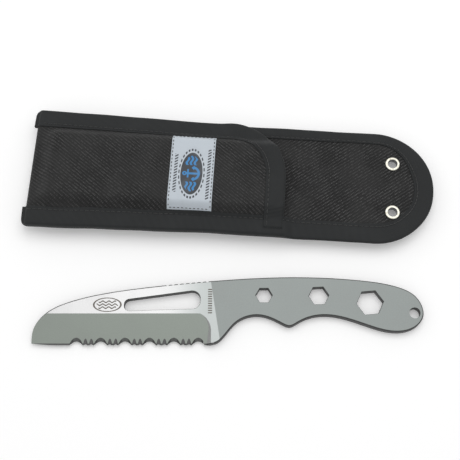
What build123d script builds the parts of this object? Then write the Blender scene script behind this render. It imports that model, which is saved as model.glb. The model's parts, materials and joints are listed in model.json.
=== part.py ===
from build123d import *
import math
import os

# Rigging knife with its belt sheath, laid out side by side on a flat surface.
# The knife is one piece of stainless plate: blade, shackle key slot, three hex wrench openings, grip
# and lanyard hole. The sheath is a padded nylon pocket: one strip of cloth folded over at the tip end,
# bound with tape, with a stiff guard inside, two eyelets in its tab and a belt loop behind.
# Millimetres. +X runs from the blade tip to the lanyard hole, +Y from the knife to the sheath, +Z up.
# The origin is the centre of the layout's box, on the surface that both rest on.

# ---- knife: plate and outline (from the tip, and up from the straight cutting edge) ----
KNIFE_LENGTH = 209.7
PLATE = 4.5
TIP_RISE = 1.0
EDGE_STRAIGHT_FROM = 14.0
HEEL = 93.2
PLATE_EDGE_BREAK = 0.6
# Share of the length, and height in millimetres, of the points that shape the back of the knife
SPINE_POINTS = [(0.0020, 7.5), (0.0150, 13.2), (0.0430, 18.8), (0.0880, 23.2), (0.1490, 26.8),
                (0.2720, 31.1), (0.4560, 35.1), (0.6740, 37.3), (0.8460, 35.4), (0.9360, 31.9),
                (0.9830, 26.4)]
# The same for the underside of the grip, from the lanyard end to the heel
GRIP_POINTS = [(0.9815, 10.3), (0.9380, 6.9), (0.8390, 11.5), (0.7390, 15.9), (0.6780, 12.0),
               (0.6560, 9.9), (0.6340, 11.6), (0.5730, 15.9), (0.5210, 12.2), (0.4880, 4.3),
               (0.4710, 1.2)]
PUMMEL_HEIGHT = 17.3

# ---- knife: grind, edge and serrations ----
GRIND_HEIGHT = 16.9
GRIND_HALF_THICKNESS = 0.35     # half the plate left where the cutting bevel starts
CUTTING_BEVEL = 0.9             # height of the cutting bevel
EDGE_HALF_THICKNESS = 0.06
PLUNGE = 95.6                   # where the grind stops
PLUNGE_RADIUS = 10.5
PLUNGE_SLOPE = 50.0             # degrees, of the wall that ends the grind
SCALLOP_COUNT = 6
SCALLOP_FROM_HEEL = 4.4
SCALLOP_PITCH = 13.0
SCALLOP_RADIUS = 4.9
SCALLOP_BITE = 1.85             # how far a large scallop cuts into the edge line
SCALLOP_TILT = 33.0             # degrees, wheel axis to plate
TOOTH_SPREAD = 3.1              # between the two small scallops of a pair
TOOTH_RADIUS = 1.7
TOOTH_BITE = 0.5
TOOTH_TILT = 16.5

# ---- knife: openings ----
KEY_SLOT_START = 48.8
KEY_SLOT_END = 89.8
KEY_SLOT_LOW = (18.2, 19.6)     # lower edge at its start and end
KEY_SLOT_HIGH = (24.5, 30.2)    # upper edge at its start and end
KEY_SLOT_RADII = (2.9, 4.5)
HEX_FLATS = (7.95, 9.55, 12.75)         # wrench sizes 5/16, 3/8 and 1/2 inch
HEX_FROM_END = (85.6, 56.0, 28.5)
HEX_HEIGHTS = (27.0, 26.8, 22.9)
HEX_TURNS = (0.0, 3.0, 5.0)
LANYARD_RADIUS = 3.0
LANYARD_FROM_END = 4.8
LANYARD_HEIGHT = 17.2
OPENING_BREAK = 0.15
THUMB_NOTCH_COUNT = 8
THUMB_NOTCH_PITCH = 3.1
THUMB_NOTCH_RADIUS = 0.8
THUMB_NOTCH_DEPTH = 0.55
THUMB_NOTCH_FROM_HEEL = 21.4

# ---- sheath: plan ----
SHEATH_LENGTH = 225.4
TAB_HALF_WIDTH = 32.6
FOLD_HALF_WIDTH = 34.9
TAPER_LENGTH = 100.0
MOUTH = 142.0                   # fold to the pocket's mouth
MOUTH_CORNER = 32.0             # radius of the mouth's cut-away corner
SHEATH_TURN = -3.6              # degrees, how the sheath lies beside the knife

# ---- sheath: cloth layers ----
CLOTH = 0.5
FOAM = 1.1
LINING = 0.4
PANEL = CLOTH + FOAM + LINING
TAPE = 0.6
TAPE_WIDTH = 10.4
WELT = 2 * TAPE + 0.1           # keeps both tapes clear of each other under the free corner
THREAD = 0.25
THREAD_WIDTH = 0.6
THREAD_INSET = 1.8              # stitch line to the tape's inner edge
LABEL = 0.5
LABEL_WIDTH = 24.5
LABEL_TOP_GAP = 0.3             # label's ends to the tapes
LABEL_FOOT_GAP = 0.3
LABEL_START = 78.3

# ---- sheath: guard, pocket and belt loop ----
GUARD_WALL = 0.8
GUARD_CLEARANCE = 1.1           # knife plate to guard, across the thickness
GUARD_WIDTH = 40.0
GUARD_SETBACK = 11.0            # fold lining to guard, where the pocket rises from the fold
GUARD_END_GAP = 1.0             # guard's open end to the mouth's tape
SEAM_MARGIN = 2.9               # guard's side to the seam's inner edge
TOP_MARGIN = -0.4               # guard's side to the pocket's upper corner
CROWN_RADIUS = 6.0
FOOT_RADIUS = 3.0
WEBBING = 1.6
WEBBING_WIDTH = 38.0
BELT_GAP = 4.6
BELT_SPAN = 53.0                # flat run of the loop
LOOP_RAMP = 6.0
LOOP_END = 10.0                 # sewn length at each end
LOOP_FROM_END = 146.0           # loop's sewn end nearest the fold, from the tab's end

# ---- sheath: eyelets ----
EYELET_BORE = 2.75
EYELET_WALL = 0.35
EYELET_FLANGE = 4.15
EYELET_FLANGE_THICKNESS = 0.6
EYELET_SPREAD = 55.7            # degrees, from the tab's centre line, about the centre of its round end
EYELET_MARGIN = 0.2             # washer to the tape's inner edge
WASHER_RADIUS = 4.3
WASHER_THICKNESS = 0.6

# ---- layout ----
LAY_GAP = 18.2                  # knife to sheath
LAY_SHIFT = 8.0                 # how far the knife's tip lies in from the sheath's end

# Heights of the sheath's layers over the surface that it lies on
BACK_LOW = WEBBING + BELT_GAP
BACK_TOP = BACK_LOW + PANEL
FLANGE_TOP = BACK_TOP + WELT + PANEL
GUARD_HEIGHT = PLATE + GUARD_CLEARANCE + 2 * GUARD_WALL
FRONT_TOP = BACK_TOP + GUARD_HEIGHT + PANEL
CORNER_START = MOUTH - MOUTH_CORNER
TAB_CENTRE = SHEATH_LENGTH - TAB_HALF_WIDTH     # centre of the tab's round end
LOOP_START = SHEATH_LENGTH - LOOP_FROM_END
LABEL_TOP = TAB_HALF_WIDTH - TAPE_WIDTH - LABEL_TOP_GAP
LABEL_FOOT = LABEL_FOOT_GAP - (TAB_HALF_WIDTH - TAPE_WIDTH)
FAR = 400.0                     # longer than anything here


def prism(face, low, high):
    """A flat shape raised from one height to another."""
    return Pos(0, 0, low) * extrude(face, high - low)


def slab(x0, x1, y0, y1, z0, z1):
    """A block given by its limits."""
    return Pos((x0 + x1) / 2, (y0 + y1) / 2, (z0 + z1) / 2) * Box(x1 - x0, y1 - y0, z1 - z0)


def profile_face(points, plane):
    """A face with straight sides, on a plane."""
    return plane * make_face(Polyline(*points, close=True))


def curve_through(points, start, end):
    """A smooth curve through points, with a direction at each end."""
    return Spline(*points, tangents=[start, end], tangent_scalars=(1, 1))


# ------------------------------------------------------------------ knife

def spine_curve():
    """Back of the knife, from the tip to the lanyard end."""
    points = [(0, TIP_RISE)] + [(x * KNIFE_LENGTH, y) for x, y in SPINE_POINTS]
    return curve_through([*points, (KNIFE_LENGTH, PUMMEL_HEIGHT)], (0, 1), (0, -1))


def grip_curve():
    """Underside of the grip, from the lanyard end to the heel, with two finger grooves."""
    points = [(KNIFE_LENGTH, PUMMEL_HEIGHT)] + [(x * KNIFE_LENGTH, y) for x, y in GRIP_POINTS]
    return curve_through([*points, (HEEL, 0)], (0, -1), (-1, -0.12))


def cutting_edge():
    """The straight edge, and the slight rise to the tip."""
    straight = Line((HEEL, 0), (EDGE_STRAIGHT_FROM, 0))
    rise = curve_through([(EDGE_STRAIGHT_FROM, 0), (0, TIP_RISE)], (-1, 0), (-1, 0.12))
    return [straight, rise]


def height_on(curve, x):
    """Height of a left-to-right curve at x."""
    low, high = 0.0, 1.0
    for _ in range(40):
        middle = (low + high) / 2
        if (curve @ middle).X < x:
            low = middle
        else:
            high = middle
    return (curve @ low).Y


def blank():
    """The plate cut to the knife's outline, with its edges broken."""
    plate = extrude(make_face([spine_curve(), grip_curve(), *cutting_edge()]), PLATE)
    faces = plate.faces().sort_by(Axis.Z)
    return chamfer(faces[0].edges() + faces[-1].edges(), PLATE_EDGE_BREAK)


def grind_cutter():
    """What the grinding takes off the upper side: a wedge, ended by a sloping round plunge."""
    middle = PLATE / 2
    wedge = profile_face([(GRIND_HEIGHT, PLATE), (CUTTING_BEVEL, middle + GRIND_HALF_THICKNESS),
                          (0, middle + EDGE_HALF_THICKNESS), (-PLATE, middle + EDGE_HALF_THICKNESS),
                          (-PLATE, 2 * PLATE), (GRIND_HEIGHT, 2 * PLATE)], Plane.YZ)
    wedge = Pos(-PLATE, 0, 0) * extrude(wedge, KNIFE_LENGTH)
    region = Rectangle(PLUNGE + 2 * PLATE, GRIND_HEIGHT + 3 * PLATE, align=(Align.MAX, Align.MAX))
    region = Pos(PLUNGE, GRIND_HEIGHT + 1, PLATE) * region
    corner = region.vertices().sort_by(lambda v: v.X + v.Y)[-1]
    region = fillet(corner, PLUNGE_RADIUS)
    reach = extrude(region, -PLATE / 2, taper=PLUNGE_SLOPE) + extrude(region, PLATE)
    return wedge & reach


def wheel(x, radius, bite, tilt):
    """A grinding wheel that cuts one scallop through the edge from the upper side."""
    slope = (GRIND_HALF_THICKNESS - EDGE_HALF_THICKNESS) / CUTTING_BEVEL
    under = PLATE / 2 - EDGE_HALF_THICKNESS - slope * bite
    lean = math.radians(tilt)
    centre = (x, bite - radius * math.sin(lean), under + radius * math.cos(lean))
    return Pos(*centre) * Rot(tilt - 90, 0, 0) * Cylinder(radius, 4 * GRIND_HEIGHT / 3)


def serrations():
    """Large scallops, with a pair of small ones between each two."""
    wheels = []
    for number in range(SCALLOP_COUNT):
        x = HEEL - SCALLOP_FROM_HEEL - number * SCALLOP_PITCH
        wheels.append(wheel(x, SCALLOP_RADIUS, SCALLOP_BITE, SCALLOP_TILT))
        if number < SCALLOP_COUNT - 1:
            for side in (-0.5, 0.5):
                small = x - SCALLOP_PITCH / 2 + side * TOOTH_SPREAD
                wheels.append(wheel(small, TOOTH_RADIUS, TOOTH_BITE, TOOTH_TILT))
    return wheels


def key_slot():
    """The tapering slot that turns a shackle pin."""
    corners = [(KEY_SLOT_START, KEY_SLOT_LOW[0]), (KEY_SLOT_END, KEY_SLOT_LOW[1]),
               (KEY_SLOT_END, KEY_SLOT_HIGH[1]), (KEY_SLOT_START, KEY_SLOT_HIGH[0])]
    face = make_face(Polyline(*corners, close=True))
    by_x = face.vertices().sort_by(Axis.X)
    face = fillet(by_x[:2], KEY_SLOT_RADII[0])
    by_x = face.vertices().sort_by(Axis.X)
    return fillet([v for v in by_x if v.X > KEY_SLOT_END - 0.01], KEY_SLOT_RADII[1])


def wrench_openings():
    """Three hexagons, for the nuts and bolt heads most used on deck."""
    places = zip(HEX_FLATS, HEX_FROM_END, HEX_HEIGHTS, HEX_TURNS)
    return [Pos(KNIFE_LENGTH - back, y, 0) * Rot(0, 0, turn)
            * RegularPolygon(flats / 2, 6, major_radius=False) for flats, back, y, turn in places]


def opened(face):
    """Cutter for an opening through the plate, with both rims broken."""
    through = prism(face, -PLATE, 2 * PLATE)
    rims = loft([offset(face, OPENING_BREAK), face.moved(Location((0, 0, OPENING_BREAK)))])
    return [through, rims, Pos(0, 0, PLATE) * mirror(rims, Plane.XY)]


def thumb_notches():
    """Round notches across the back of the blade, so that a thumb doesn't slip."""
    spine, notches = spine_curve(), []
    for number in range(THUMB_NOTCH_COUNT):
        x = HEEL - THUMB_NOTCH_FROM_HEEL + number * THUMB_NOTCH_PITCH
        y = height_on(spine, x) + THUMB_NOTCH_RADIUS - THUMB_NOTCH_DEPTH
        notches.append(Pos(x, y, PLATE / 2) * Cylinder(THUMB_NOTCH_RADIUS, 2 * PLATE))
    return notches


def knife():
    """The whole knife, one solid, lying flat with its tip at x 0 and its cutting edge at y 0."""
    body = blank()
    upper = grind_cutter()
    body -= [upper, Pos(0, 0, PLATE) * mirror(upper, Plane.XY)]
    body -= serrations()
    body -= thumb_notches()
    lanyard = Pos(KNIFE_LENGTH - LANYARD_FROM_END, LANYARD_HEIGHT) * Circle(LANYARD_RADIUS)
    for face in [key_slot(), *wrench_openings()]:
        body -= opened(face)
    return body - prism(lanyard, -PLATE, 2 * PLATE)


# ------------------------------------------------------------------ sheath plan

def back_plan(inset=0.0):
    """Outline of the back panel with its round tab. The inset leaves the folded end where it is."""
    tab, fold = TAB_HALF_WIDTH - inset, FOLD_HALF_WIDTH - inset
    lines = Polyline((TAB_CENTRE, tab), (TAPER_LENGTH, tab), (0, fold), (0, -fold),
                     (TAPER_LENGTH, -tab), (TAB_CENTRE, -tab))
    arc = ThreePointArc((TAB_CENTRE, -tab), (TAB_CENTRE + tab, 0), (TAB_CENTRE, tab))
    return make_face([lines, arc])


def front_plan(inset=0.0):
    """Outline of the pocket's front, with one corner of its mouth cut away in a large arc."""
    tab, fold, mouth = TAB_HALF_WIDTH - inset, FOLD_HALF_WIDTH - inset, MOUTH - inset
    corner = MOUTH_CORNER - inset
    lines = Polyline((mouth - corner, tab), (TAPER_LENGTH, tab), (0, fold), (0, -fold),
                     (TAPER_LENGTH, -tab), (mouth, -tab), (mouth, tab - corner))
    arc = RadiusArc((mouth, tab - corner), (mouth - corner, tab), -corner)
    return make_face([lines, arc])


def band(plan, low, high, outer=0.0, inner=TAPE_WIDTH):
    """The strip along a plan's edge, between two insets."""
    return prism(plan(outer), low, high) - prism(plan(inner), low, high)


# ------------------------------------------------------------------ sheath layers

def pocket(depth):
    """The space under the pocket's front, at a depth below the front's outer cloth."""
    top, flange = FRONT_TOP - depth, FLANGE_TOP - depth
    inner_foot = GUARD_WIDTH / 2 + SEAM_MARGIN
    inner_crown = GUARD_WIDTH / 2 + TOP_MARGIN
    rise, run = FRONT_TOP - FLANGE_TOP, inner_foot - inner_crown
    length = math.hypot(rise, run)
    # the slope is a line that passes the lining's foot and moves outwards with the layers over it
    reach = (rise * inner_foot + run * (FLANGE_TOP - PANEL)) / length + PANEL - depth
    foot = (reach * length - run * flange) / rise
    crown = (reach * length - run * top) / rise
    half = [(foot, flange), (crown, top)]
    points = [(-FAR / 2, BACK_TOP), (FAR / 2, BACK_TOP), (FAR / 2, flange), *half,
              *[(-y, z) for y, z in reversed(half)], (-FAR / 2, flange)]
    section = make_face(Polyline(*points, close=True))
    crowns = [v for v in section.vertices() if abs(v.Y - top) < 1e-6]
    section = fillet(crowns, CROWN_RADIUS - depth)
    feet = [v for v in section.vertices() if abs(v.Y - flange) < 1e-6 and abs(v.X) < FAR / 4]
    section = fillet(feet, FOOT_RADIUS + depth)
    return Pos(depth, 0, 0) * extrude(Plane.YZ * section, FAR)


def front_layer(outer, inner):
    """One layer of the pocket's front between two depths, cut wide: a plan trims it."""
    return pocket(outer) - pocket(inner)


def shell_cloth():
    """Outer cloth: one strip that runs over the back, round the fold and over the front."""
    front = front_layer(0, CLOTH) & prism(front_plan(), BACK_TOP, FRONT_TOP + 1)
    back = prism(back_plan(), BACK_LOW, BACK_LOW + CLOTH)
    fold = prism(back_plan(), BACK_LOW, BACK_TOP) & slab(0, CLOTH, -FAR, FAR, 0, FAR)
    return (front + back + fold) - eyelet_holes()


def front_foam():
    return front_layer(CLOTH, CLOTH + FOAM) & prism(front_plan(), BACK_TOP, FRONT_TOP)


def front_lining():
    return front_layer(CLOTH + FOAM, PANEL) & prism(front_plan(), BACK_TOP, FRONT_TOP)


def back_foam():
    layer = prism(back_plan(), BACK_LOW + CLOTH, BACK_TOP - LINING)
    return (layer & slab(CLOTH, FAR, -FAR, FAR, 0, FAR)) - eyelet_holes()


def back_lining():
    layer = prism(back_plan(), BACK_TOP - LINING, BACK_TOP)
    return (layer & slab(CLOTH, FAR, -FAR, FAR, 0, FAR)) - eyelet_holes()


def seam_welt():
    """Strip sewn into the closed sides, which keeps the knife's edge off the stitches."""
    inner = GUARD_WIDTH / 2 + SEAM_MARGIN + FOOT_RADIUS
    strip = prism(front_plan(), BACK_TOP, BACK_TOP + WELT)
    strip &= slab(PANEL, MOUTH - TAPE_WIDTH, -FAR, FAR, 0, FAR)
    strip -= slab(0, FAR, -inner, inner, 0, FAR)
    return strip - slab(CORNER_START, FAR, 0, FAR, 0, FAR)


def blade_guard():
    """Stiff liner that the blade slides into: a flat tube with round sides, closed at the tip."""
    def tube(wall, start):
        height = GUARD_HEIGHT - 2 * wall
        section = Rectangle(GUARD_WIDTH - 2 * wall, height)
        section = fillet(section.vertices(), height / 2 - 0.01)
        run = Plane.YZ * (Pos(0, BACK_TOP + GUARD_HEIGHT / 2) * section)
        return Pos(start, 0, 0) * extrude(run, CORNER_START - GUARD_END_GAP - start)
    outside = tube(0, PANEL + GUARD_SETBACK)
    inside = tube(GUARD_WALL, PANEL + GUARD_SETBACK + GUARD_WALL)
    return outside - inside


# ------------------------------------------------------------------ sheath bindings and trim

def seam_wrap(side):
    """Tape folded over one side seam of the pocket: top leg, edge and bottom leg."""
    top = front_layer(-TAPE, 0) & band(front_plan, BACK_TOP, FRONT_TOP + 1)
    bottom = band(back_plan, BACK_LOW - TAPE, BACK_LOW)
    edge = band(back_plan, BACK_LOW - TAPE, FLANGE_TOP + TAPE, -TAPE, 0)
    end = MOUTH if side < 0 else CORNER_START
    reach = slab(0, end, 0, side * FAR, 0, FAR) if side > 0 else slab(0, end, side * FAR, 0, 0, FAR)
    if side < 0:        # the mouth's own tape stops where this one starts
        top &= slab(0, MOUTH, -FAR, -(TAB_HALF_WIDTH - TAPE_WIDTH), 0, FAR)
    return (top + bottom + edge) & reach


def edge_binding():
    """Tape along the lower seam and round the tab, up to the pocket's free corner."""
    ring = band(back_plan, BACK_LOW - TAPE, BACK_TOP + TAPE, -TAPE)
    ring -= prism(back_plan(), BACK_LOW, BACK_TOP)
    ring -= slab(-FAR, CORNER_START, 0, FAR, 0, FAR)
    ring -= slab(-FAR, MOUTH, -FAR, 0, 0, FAR)
    return ring + seam_wrap(-1)


def mouth_binding():
    """Tape up the mouth, round its free corner and along the upper seam to the fold."""
    low = TAB_HALF_WIDTH - TAPE_WIDTH
    wrap = front_layer(-TAPE, PANEL + TAPE) & band(front_plan, BACK_TOP, FRONT_TOP + 1, -TAPE)
    wrap -= front_layer(0, PANEL) & prism(front_plan(), BACK_TOP, FRONT_TOP)
    seam = slab(-FAR, CORNER_START, 0, FAR, 0, FAR)
    wrap = (wrap - seam) & slab(MOUTH - MOUTH_CORNER, FAR, -low, FAR, 0, FAR)
    return wrap + seam_wrap(1)


def stitch_line(plan, low, high):
    inner = TAPE_WIDTH - THREAD_INSET
    return band(plan, low, high, inner - THREAD_WIDTH, inner)


def edge_thread():
    """Thread that holds the tape on the lower seam and round the tab."""
    tape_top = BACK_TOP + TAPE
    tab = stitch_line(back_plan, tape_top, tape_top + THREAD)
    tab -= slab(-FAR, MOUTH + TAPE, -FAR, FAR, 0, FAR)
    seam = front_layer(-TAPE - THREAD, -TAPE) & stitch_line(front_plan, BACK_TOP, FRONT_TOP + 2)
    seam &= slab(0, MOUTH - TAPE_WIDTH, -FAR, -(TAB_HALF_WIDTH - TAPE_WIDTH), 0, FAR)
    return tab + seam


def mouth_thread():
    """Thread that holds the tape on the mouth and the upper seam."""
    line = front_layer(-TAPE - THREAD, -TAPE) & stitch_line(front_plan, BACK_TOP, FRONT_TOP + 2)
    low = TAB_HALF_WIDTH - TAPE_WIDTH
    lower_seam = slab(-FAR, MOUTH - TAPE_WIDTH, -FAR, 0, 0, FAR) + slab(-FAR, FAR, -FAR, -low, 0, FAR)
    return line - lower_seam


def label_patch(inset):
    """The label's plan, cut tall."""
    return slab(LABEL_START + inset, LABEL_START + LABEL_WIDTH - inset, LABEL_FOOT + inset,
                LABEL_TOP - inset, BACK_TOP, FRONT_TOP + 2)


def woven_label():
    """Plain woven label, sewn across the front."""
    return front_layer(-LABEL, 0) & label_patch(0)


def label_thread():
    """Thread round the label's edge."""
    line = label_patch(THREAD_WIDTH) - label_patch(2 * THREAD_WIDTH)
    return front_layer(-LABEL - THREAD, -LABEL) & line


def belt_loop():
    """Webbing strap sewn to the back at both ends, with room for a belt under it."""
    x0 = LOOP_START
    x1, x2 = x0 + LOOP_END, x0 + LOOP_END + LOOP_RAMP
    x3, x4 = x2 + BELT_SPAN, x2 + BELT_SPAN + LOOP_RAMP
    x5 = x4 + LOOP_END
    points = [(x0, BACK_LOW), (x0, BELT_GAP), (x1, BELT_GAP), (x2, 0), (x3, 0), (x4, BELT_GAP),
              (x5, BELT_GAP), (x5, BACK_LOW), (x4, BACK_LOW), (x3, WEBBING), (x2, WEBBING),
              (x1, BACK_LOW)]
    strap = extrude(Plane.XZ * make_face(Polyline(*points, close=True)), WEBBING_WIDTH / 2, both=True)
    bends = [e for e in strap.edges().filter_by(Axis.Y) if x0 + 1 < e.center().X < x5 - 1]
    return fillet(bends, WEBBING / 2)


def belt_loop_thread():
    """Square of stitching with a cross at each end of the loop."""
    half = WEBBING_WIDTH / 2 - 2 * THREAD_WIDTH
    first = LOOP_START + LOOP_END / 2
    last = first + LOOP_END + 2 * LOOP_RAMP + BELT_SPAN
    length = LOOP_END - 4 * THREAD_WIDTH
    frame = Rectangle(length, 2 * half)
    frame -= Rectangle(length - 2 * THREAD_WIDTH, 2 * (half - THREAD_WIDTH))
    diagonal = math.degrees(math.atan2(2 * half, length))
    for turn in (diagonal, -diagonal):
        bar = Rot(0, 0, turn) * Rectangle(math.hypot(length, 2 * half), THREAD_WIDTH)
        frame += bar & Rectangle(length, 2 * half)
    return [Pos(x, 0, BELT_GAP - THREAD) * extrude(frame, THREAD) for x in (first, last)]


# ------------------------------------------------------------------ eyelets

def eyelet_places():
    """Both eyelets sit just inside the tape that runs round the tab."""
    reach = TAB_HALF_WIDTH - TAPE_WIDTH - max(WASHER_RADIUS, EYELET_FLANGE) - EYELET_MARGIN
    spread = math.radians(EYELET_SPREAD)
    x, y = TAB_CENTRE + reach * math.cos(spread), reach * math.sin(spread)
    return {"near": (x, -y), "far": (x, y)}


def eyelet_holes():
    return [Pos(x, y, BACK_LOW) * Cylinder(EYELET_BORE + EYELET_WALL, FAR / 4)
            for x, y in eyelet_places().values()]


def eyelet(x, y):
    """Plated barrel with a round flange on the front face of the tab."""
    barrel = EYELET_BORE + EYELET_WALL
    low = BACK_LOW - WASHER_THICKNESS - EYELET_WALL
    flange_top = BACK_TOP + EYELET_FLANGE_THICKNESS
    flange = prism(Circle(EYELET_FLANGE), BACK_TOP, flange_top)
    flange = fillet(flange.edges().sort_by(Axis.Z)[-1], EYELET_FLANGE_THICKNESS * 0.8)
    # the far end of the barrel is rolled over the washer
    roll = prism(Circle(barrel + EYELET_WALL), low, BACK_LOW - WASHER_THICKNESS)
    body = flange + prism(Circle(barrel), low, BACK_TOP) + roll
    body -= prism(Circle(EYELET_BORE), 0, FAR)
    return Pos(x, y, 0) * body


def eyelet_washer(x, y):
    """Ring on the back face, which the barrel is rolled over."""
    ring = prism(Circle(WASHER_RADIUS) - Circle(EYELET_BORE + EYELET_WALL),
                 BACK_LOW - WASHER_THICKNESS, BACK_LOW)
    return Pos(x, y, 0) * ring


# ------------------------------------------------------------------ layout

def sheath_pieces():
    pieces = {
        "shell_cloth": shell_cloth(), "front_foam": front_foam(), "front_lining": front_lining(),
        "back_foam": back_foam(), "back_lining": back_lining(), "seam_welt": seam_welt(),
        "blade_guard": blade_guard(), "edge_binding": edge_binding(),
        "mouth_binding": mouth_binding(), "edge_thread": edge_thread(),
        "mouth_thread": mouth_thread(), "woven_label": woven_label(),
        "label_thread": label_thread(), "belt_loop": belt_loop(),
        "belt_loop_thread": Compound(belt_loop_thread()),
    }
    for side, (x, y) in eyelet_places().items():
        pieces[f"{side}_eyelet"] = eyelet(x, y)
        pieces[f"{side}_eyelet_washer"] = eyelet_washer(x, y)
    return pieces


def solids_of(shape):
    """A node's solids, as one compound when there are several."""
    solids = list(shape.solids())
    return solids[0] if len(solids) == 1 else Compound(solids)


def lay_out():
    """Places both parts side by side, and the origin under the middle of the two."""
    turn = Rot(0, 0, SHEATH_TURN)
    sheath = {name: turn * solids_of(shape) for name, shape in sheath_pieces().items()}
    blade = solids_of(knife())
    sheath_box = Compound(list(sheath.values())).bounding_box()
    knife_box = blade.bounding_box()
    shift = (sheath_box.min.X + LAY_SHIFT - knife_box.min.X,
             sheath_box.min.Y - LAY_GAP - knife_box.max.Y, 0)
    nodes = {"knife": Pos(*shift) * blade, **sheath}
    box = Compound(list(nodes.values())).bounding_box()
    origin = ((box.min.X + box.max.X) / 2, (box.min.Y + box.max.Y) / 2, box.min.Z)
    places = {"knife": (shift[0] - origin[0], shift[1] - origin[1], -origin[2]),
              "sheath": tuple(-v for v in origin)}
    return {name: Pos(*[-v for v in origin]) * shape for name, shape in nodes.items()}, places


NODES, PLACES = lay_out()

os.makedirs("parts", exist_ok=True)
for name, shape in NODES.items():
    export_step(shape, f"parts/{name}.step")
    print(name, len(shape.solids()), round(shape.volume, 1))
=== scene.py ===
# %% [markdown]
# # A rigging knife beside its belt sheath
# A rigger's knife is one piece of steel plate. Its blade, shackle key, wrench openings and grip are
# all cut and ground in that plate. It lives in a padded nylon pocket that is worn on a belt.
# The steel and the eyelets already have their true shape, so this file only finishes them. The sheath
# is soft, so its cloth, tape, foam and thread are made here, around the plain shapes in the frame.

# %% Load the frame
import bmesh
import bpy
import json
import math
from mathutils import Matrix, Vector, noise


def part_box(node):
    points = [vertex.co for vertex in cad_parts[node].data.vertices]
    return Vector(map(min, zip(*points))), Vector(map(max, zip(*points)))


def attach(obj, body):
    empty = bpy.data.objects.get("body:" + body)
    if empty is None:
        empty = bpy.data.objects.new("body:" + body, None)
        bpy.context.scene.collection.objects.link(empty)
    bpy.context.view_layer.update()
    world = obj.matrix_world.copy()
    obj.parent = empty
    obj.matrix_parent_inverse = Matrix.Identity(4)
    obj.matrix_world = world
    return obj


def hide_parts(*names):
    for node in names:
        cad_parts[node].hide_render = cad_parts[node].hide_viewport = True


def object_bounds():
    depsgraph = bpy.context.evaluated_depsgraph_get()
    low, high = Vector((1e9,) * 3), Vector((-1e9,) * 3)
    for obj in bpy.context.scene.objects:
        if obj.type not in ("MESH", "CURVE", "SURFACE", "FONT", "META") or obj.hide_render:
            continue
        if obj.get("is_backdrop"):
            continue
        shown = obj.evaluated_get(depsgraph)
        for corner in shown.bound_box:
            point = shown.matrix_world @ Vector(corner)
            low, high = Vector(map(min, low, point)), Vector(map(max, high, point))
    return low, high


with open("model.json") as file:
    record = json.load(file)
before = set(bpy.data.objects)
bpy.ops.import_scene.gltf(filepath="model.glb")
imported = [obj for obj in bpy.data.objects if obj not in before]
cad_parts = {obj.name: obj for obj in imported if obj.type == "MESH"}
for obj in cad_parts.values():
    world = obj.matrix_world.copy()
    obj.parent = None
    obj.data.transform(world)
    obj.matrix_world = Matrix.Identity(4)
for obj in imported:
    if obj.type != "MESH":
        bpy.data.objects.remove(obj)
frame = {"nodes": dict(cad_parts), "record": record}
cad_low, cad_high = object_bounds()
nodes = frame["nodes"]
MM = 0.001
mounts = {mount["name"]: Vector(mount["pos_m"]) for mount in frame["record"]["mounts"]}
print("nodes", len(nodes), "box in mm", [round(side / MM, 1) for side in cad_high - cad_low])

# %% [markdown]
# ## Two rulers
# The knife lies along X. The sheath lies beside it at a slight angle, so it gets a ruler of its own:
# millimetres along its centre line from the folded end, and millimetres across. Both rulers are read
# from the frame, so that every soft piece lands where its plain shape is.

# %% The sheath's ruler
eyelet_middle = (mounts["near_eyelet_bore"] + mounts["far_eyelet_bore"]) / 2
along = eyelet_middle - mounts["belt_passage"]
along.z = 0
along.normalize()
across = Vector((-along.y, along.x, 0))


def reach(node, direction):
    """Lowest and highest point of a node in a direction, in metres."""
    values = [corner.co.dot(direction) for corner in nodes[node].data.vertices]
    return min(values), max(values)


fold_end = reach("shell_cloth", along)[0]
sheath_origin = along * fold_end + across * eyelet_middle.dot(across)
heading = math.atan2(along.y, along.x)
turn = Matrix.Rotation(heading, 4, "Z")
to_frame = Matrix.Translation(sheath_origin) @ turn @ Matrix.Scale(MM, 4)
print("the sheath is turned", round(math.degrees(heading), 2), "degrees")

# %% Sizes read from the frame, in millimetres
LENGTH = (reach("shell_cloth", along)[1] - fold_end) / MM
MOUTH = (reach("front_lining", along)[1] - fold_end) / MM
sheath_corners = [(corner.co - sheath_origin) / MM for corner in nodes["shell_cloth"].data.vertices]
TAB_HALF = max(corner.dot(across) for corner in sheath_corners if corner.dot(along) > MOUTH)
FOLD_HALF = max(corner.dot(across) for corner in sheath_corners)
TAB_CENTRE = LENGTH - TAB_HALF
BACK_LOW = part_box("shell_cloth")[0].z / MM
BACK_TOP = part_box("back_lining")[1].z / MM
PANEL = BACK_TOP - BACK_LOW
WELT_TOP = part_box("seam_welt")[1].z / MM
SEAM_TOP = WELT_TOP + PANEL
FRONT_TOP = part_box("shell_cloth")[1].z / MM
GUARD_START = (reach("blade_guard", along)[0] - fold_end) / MM
GUARD_END = (reach("blade_guard", along)[1] - fold_end) / MM
print("sheath", round(LENGTH, 1), "mouth", round(MOUTH, 1), "halves", round(TAB_HALF, 1),
      round(FOLD_HALF, 1), "heights", round(BACK_LOW, 2), round(BACK_TOP, 2), round(SEAM_TOP, 2),
      round(FRONT_TOP, 2))

# %% Sizes of the sewing, in millimetres
TAPER = 100.0           # from the fold, where the sides become parallel
CORNER = 32.0           # radius of the pocket's free corner
CORNER_START = MOUTH - CORNER
CLOTH = 0.5
LINING = 0.4
TAPE = 0.6
TAPE_WIDTH = 10.4
STITCH_INSET = 1.8      # stitch line to the tape's inner edge
FOLD_RADIUS = (SEAM_TOP - BACK_LOW) / 2

# %% [markdown]
# ## The camera
# The camera looks straight along +Y and 20 degrees off the vertical, from half a metre away, with a
# portrait lens.

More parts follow.
